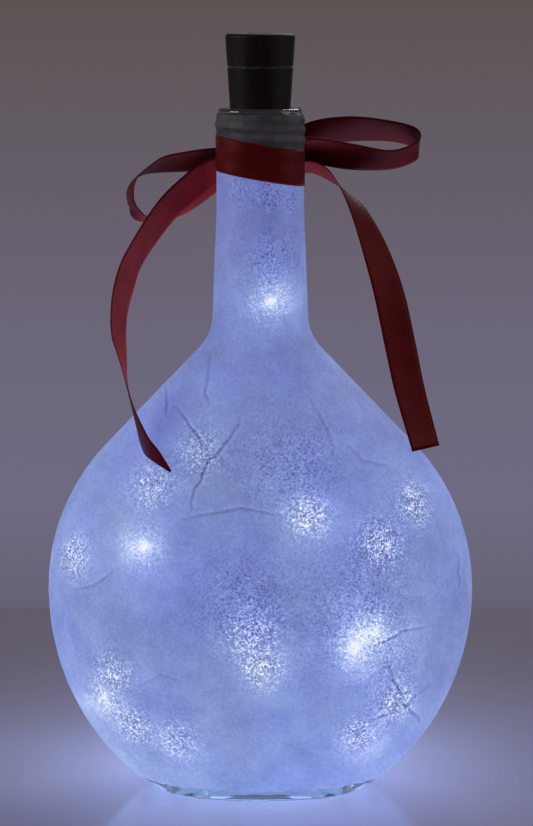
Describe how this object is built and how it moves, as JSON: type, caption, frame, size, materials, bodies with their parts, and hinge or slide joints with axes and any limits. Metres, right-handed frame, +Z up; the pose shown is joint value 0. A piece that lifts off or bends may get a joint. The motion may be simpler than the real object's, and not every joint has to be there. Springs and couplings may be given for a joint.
{
  "type": "cork bottle light",
  "caption": "Flask bottle wrapped in crinkled tissue paper, with a satin bow at the neck, a cork battery holder in the mouth and a light string glowing inside.",
  "frame": {"origin": "middle of the base, on the surface the bottle stands on", "axes": "+Z up along the neck, +X to the right as seen from the front, +Y to the back, where the bow is tied"},
  "size_m": [0.138, 0.0814, 0.2456],
  "materials": {
    "bottle_glass": "clear, faintly green glass",
    "tissue_paper": "crinkled white tissue paper glued on, lit from inside",
    "ribbon_satin": "dark red satin",
    "cork_plastic": "dark brown moulded plastic with a cork grain",
    "gland_rubber": "black rubber",
    "seal_rubber": "black rubber",
    "contact_brass": "plated brass",
    "lead_copper": "bare copper",
    "string_wire": "tinned copper wire with clear enamel",
    "board_green": "green circuit board",
    "switch_black": "black moulded plastic",
    "resistor_black": "black chip with tinned ends",
    "cell_steel": "nickel-plated steel can",
    "light_epoxy": "clear epoxy drop over a cool white light"
  },
  "bodies": {
    "bottle": {"glass_bottle": "bottle_glass", "paper_wrap": "tissue_paper", "ribbon_neck_band": "ribbon_satin", "bow_knot": "ribbon_satin", "bow_loop_left": "ribbon_satin", "bow_loop_right": "ribbon_satin", "bow_tail_left": "ribbon_satin", "bow_tail_right": "ribbon_satin", "string_wire": "string_wire", "light_bead_01": "light_epoxy", "light_bead_02": "light_epoxy", "light_bead_03": "light_epoxy", "light_bead_04": "light_epoxy", "light_bead_05": "light_epoxy", "light_bead_06": "light_epoxy", "light_bead_07": "light_epoxy", "light_bead_08": "light_epoxy", "light_bead_09": "light_epoxy", "light_bead_10": "light_epoxy", "light_bead_11": "light_epoxy", "light_bead_12": "light_epoxy", "light_bead_13": "light_epoxy", "light_bead_14": "light_epoxy", "light_bead_15": "light_epoxy", "light_bead_16": "light_epoxy", "light_bead_17": "light_epoxy", "light_bead_18": "light_epoxy", "light_bead_19": "light_epoxy", "light_bead_20": "light_epoxy"},
    "cork": {"cork_shell": "cork_plastic", "wire_gland": "gland_rubber", "negative_contact": "contact_brass", "side_contact_strip": "contact_brass", "negative_lead": "lead_copper", "positive_lead": "lead_copper", "lead_wire": "string_wire", "button_cell_1": "cell_steel", "button_cell_2": "cell_steel", "button_cell_3": "cell_steel"},
    "cap_seal": {"cap_seal_ring": "seal_rubber"},
    "cap": {"cork_cap": "cork_plastic", "circuit_board": "board_green", "slide_switch_body": "switch_black", "series_resistor": "resistor_black", "positive_contact": "contact_brass"},
    "switch": {"switch_slider": "switch_black"}
  },
  "joints": [
    {"name": "cork_pull", "type": "slide", "parent": "bottle", "child": "cork", "axis": [0, 0, 1], "range_m": [0, 0.04], "deforming": ["lead_wire"]},
    {"name": "cap_lift", "type": "slide", "parent": "cork", "child": "cap_seal", "axis": [0, 0, 1], "range_m": [0, 0.0041]},
    {"name": "cap_twist", "type": "hinge", "parent": "cap_seal", "child": "cap", "pos_m": [0, 0, 0.2405], "axis": [0, 0, 1], "range_deg": [0, 720]},
    {"name": "switch_slide", "type": "slide", "parent": "cap", "child": "switch", "axis": [1, 0, 0], "range_m": [0, 0.002]}
  ],
  "couplings": [
    {"joint": "cap_lift", "follows": "cap_twist", "m_per_rad": 0.00031831}
  ]
}
